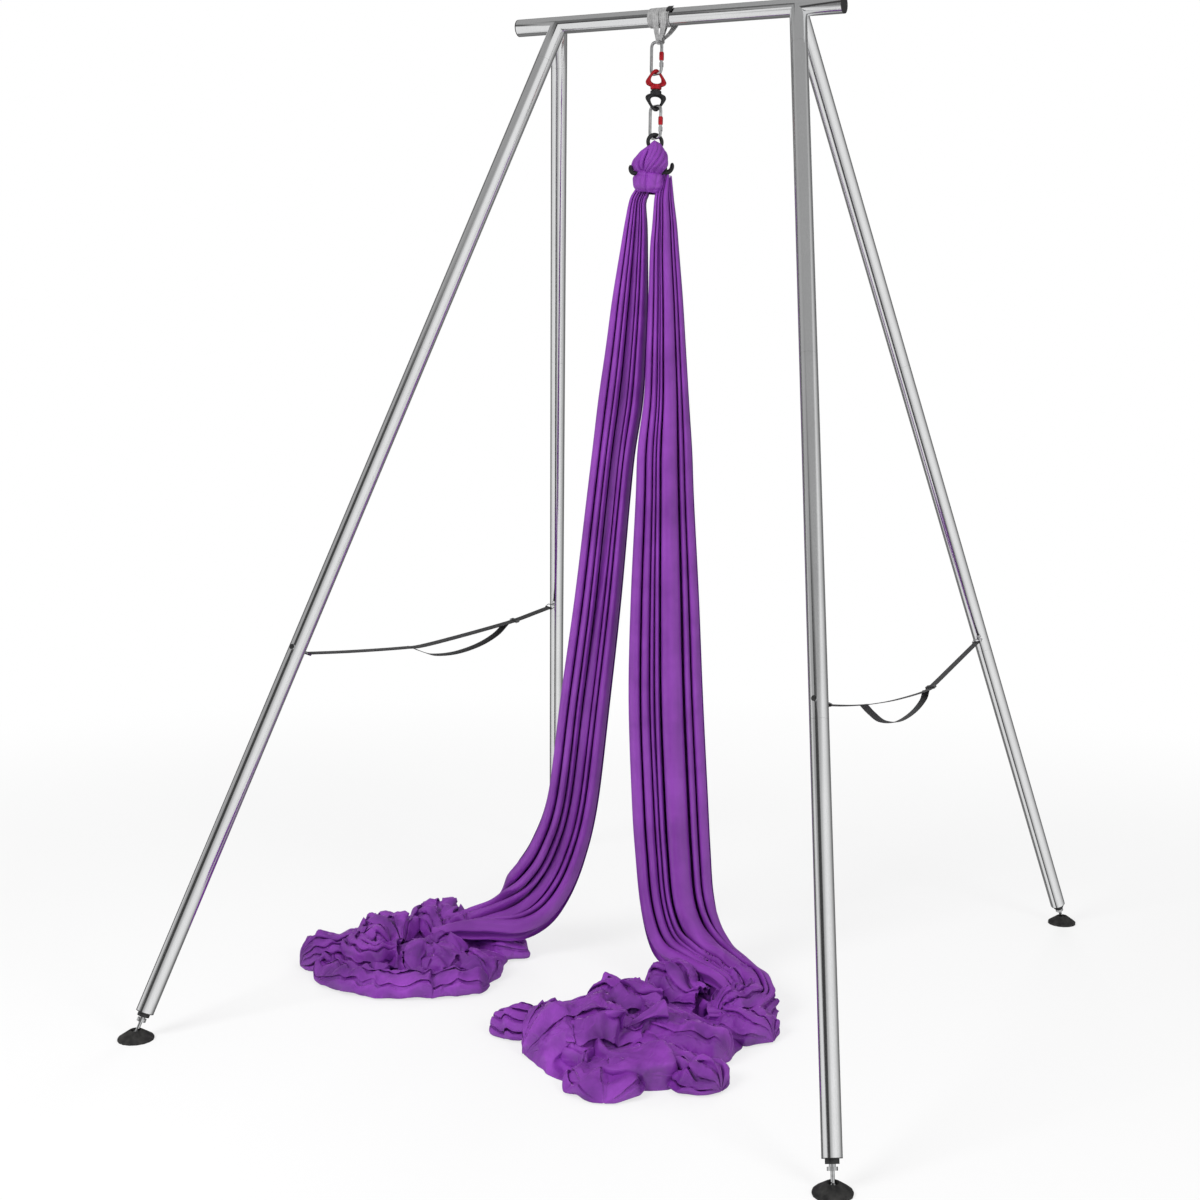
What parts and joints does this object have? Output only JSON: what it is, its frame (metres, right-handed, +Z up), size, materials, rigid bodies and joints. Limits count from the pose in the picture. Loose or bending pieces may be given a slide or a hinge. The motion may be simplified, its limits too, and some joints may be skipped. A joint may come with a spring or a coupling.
{
  "type": "aerial rig",
  "caption": "Free-standing A-frame aerial rig with a crossbar, jointed tube legs, levelling feet, stabilising straps, swivel chain and hanging silk.",
  "frame": {"origin": "centre of the footprint on the floor, midway between the four feet", "axes": "+Z up, X along the crossbar, -Y towards the side that faces the camera in the picture"},
  "size_m": [2.1744, 2.4284, 2.9486],
  "materials": {
    "tube_steel": "polished",
    "bright_steel": "polished",
    "black_plastic": "matte",
    "rubber": "matte",
    "black_webbing": "woven",
    "grey_webbing": "woven",
    "red_metal": "anodised",
    "black_metal": "anodised",
    "silk": "satin"
  },
  "bodies": {
    "frame": {"crossbar": "tube_steel", "end_cap_left": "black_plastic", "end_cap_right": "black_plastic", "leg_front_left_upper_tube": "tube_steel", "leg_front_left_middle_tube": "tube_steel", "leg_front_left_lower_tube": "tube_steel", "lock_pin_front_left": "bright_steel", "foot_nut_front_left": "black_plastic", "leg_front_right_upper_tube": "tube_steel", "leg_front_right_middle_tube": "tube_steel", "leg_front_right_lower_tube": "tube_steel", "lock_pin_front_right": "bright_steel", "foot_nut_front_right": "black_plastic", "leg_back_right_upper_tube": "tube_steel", "leg_back_right_middle_tube": "tube_steel", "leg_back_right_lower_tube": "tube_steel", "lock_pin_back_right": "bright_steel", "foot_nut_back_right": "black_plastic", "leg_back_left_upper_tube": "tube_steel", "leg_back_left_middle_tube": "tube_steel", "leg_back_left_lower_tube": "tube_steel", "lock_pin_back_left": "bright_steel", "foot_nut_back_left": "black_plastic", "strap_left": "black_webbing", "strap_slack_left": "black_webbing", "strap_buckle_left": "bright_steel", "strap_right": "black_webbing", "strap_slack_right": "black_webbing", "strap_buckle_right": "bright_steel", "sling": "grey_webbing", "carabiner_upper_body": "bright_steel", "carabiner_upper_hinge_pin": "bright_steel", "swivel_upper_eye": "red_metal"},
    "stud_front_left": {"foot_stud_front_left": "bright_steel"},
    "pad_front_left": {"foot_pad_front_left": "rubber"},
    "stud_front_right": {"foot_stud_front_right": "bright_steel"},
    "pad_front_right": {"foot_pad_front_right": "rubber"},
    "stud_back_right": {"foot_stud_back_right": "bright_steel"},
    "pad_back_right": {"foot_pad_back_right": "rubber"},
    "stud_back_left": {"foot_stud_back_left": "bright_steel"},
    "pad_back_left": {"foot_pad_back_left": "rubber"},
    "gate_upper": {"carabiner_upper_gate": "bright_steel"},
    "sleeve_upper": {"carabiner_upper_sleeve": "red_metal"},
    "hanging": {"swivel_lower_eye": "black_metal", "swivel_axle": "bright_steel", "carabiner_lower_body": "bright_steel", "carabiner_lower_hinge_pin": "bright_steel", "figure_eight": "black_metal", "silk_knot": "silk", "silk_tail_left": "silk", "silk_tail_right": "silk", "silk_pile_left": "silk", "silk_pile_right": "silk"},
    "gate_lower": {"carabiner_lower_gate": "bright_steel"},
    "sleeve_lower": {"carabiner_lower_sleeve": "red_metal"}
  },
  "joints": [
    {"name": "level_front_left", "type": "slide", "parent": "frame", "child": "stud_front_left", "axis": [-0.2032, -0.3647, -0.9087], "range_m": [-0.005, 0.015]},
    {"name": "pad_tilt_front_left", "type": "hinge", "parent": "stud_front_left", "child": "pad_front_left", "pos_m": [-1.0382, -1.16518, 0.017], "axis": [0.8736, -0.4867, 0], "range_deg": [-4, 4]},
    {"name": "level_front_right", "type": "slide", "parent": "frame", "child": "stud_front_right", "axis": [0.2032, -0.3647, -0.9087], "range_m": [-0.005, 0.015]},
    {"name": "pad_tilt_front_right", "type": "hinge", "parent": "stud_front_right", "child": "pad_front_right", "pos_m": [1.0382, -1.16518, 0.017], "axis": [0.8736, 0.4867, 0], "range_deg": [-4, 4]},
    {"name": "level_back_right", "type": "slide", "parent": "frame", "child": "stud_back_right", "axis": [0.2032, 0.3647, -0.9087], "range_m": [-0.005, 0.015]},
    {"name": "pad_tilt_back_right", "type": "hinge", "parent": "stud_back_right", "child": "pad_back_right", "pos_m": [1.0382, 1.16518, 0.017], "axis": [-0.8736, 0.4867, 0], "range_deg": [-4, 4]},
    {"name": "level_back_left", "type": "slide", "parent": "frame", "child": "stud_back_left", "axis": [-0.2032, 0.3647, -0.9087], "range_m": [-0.005, 0.015]},
    {"name": "pad_tilt_back_left", "type": "hinge", "parent": "stud_back_left", "child": "pad_back_left", "pos_m": [-1.0382, 1.16518, 0.017], "axis": [-0.8736, -0.4867, 0], "range_deg": [-4, 4]},
    {"name": "gate_upper", "type": "hinge", "parent": "frame", "child": "gate_upper", "pos_m": [-0.03653, -0.00956, 2.785], "axis": [-0.4067, -0.9135, 0], "range_deg": [0, 18], "stiffness_Nm_per_rad": 0.02, "springref_deg": -17.19},
    {"name": "sleeve_upper", "type": "slide", "parent": "gate_upper", "child": "sleeve_upper", "axis": [0, 0, 1], "range_m": [0, 0.011]},
    {"name": "gate_lower", "type": "hinge", "parent": "hanging", "child": "gate_lower", "pos_m": [-0.03621, -0.0088, 2.6016], "axis": [-0.3746, -0.9272, 0], "range_deg": [0, 18], "stiffness_Nm_per_rad": 0.02, "springref_deg": -17.19},
    {"name": "sleeve_lower", "type": "slide", "parent": "gate_lower", "child": "sleeve_lower", "axis": [0, 0, 1], "range_m": [0, 0.011]},
    {"name": "swivel_spin", "type": "hinge", "parent": "frame", "child": "hanging", "pos_m": [-0.058, 0, 2.7153], "axis": [0, 0, 1], "continuous": true}
  ]
}
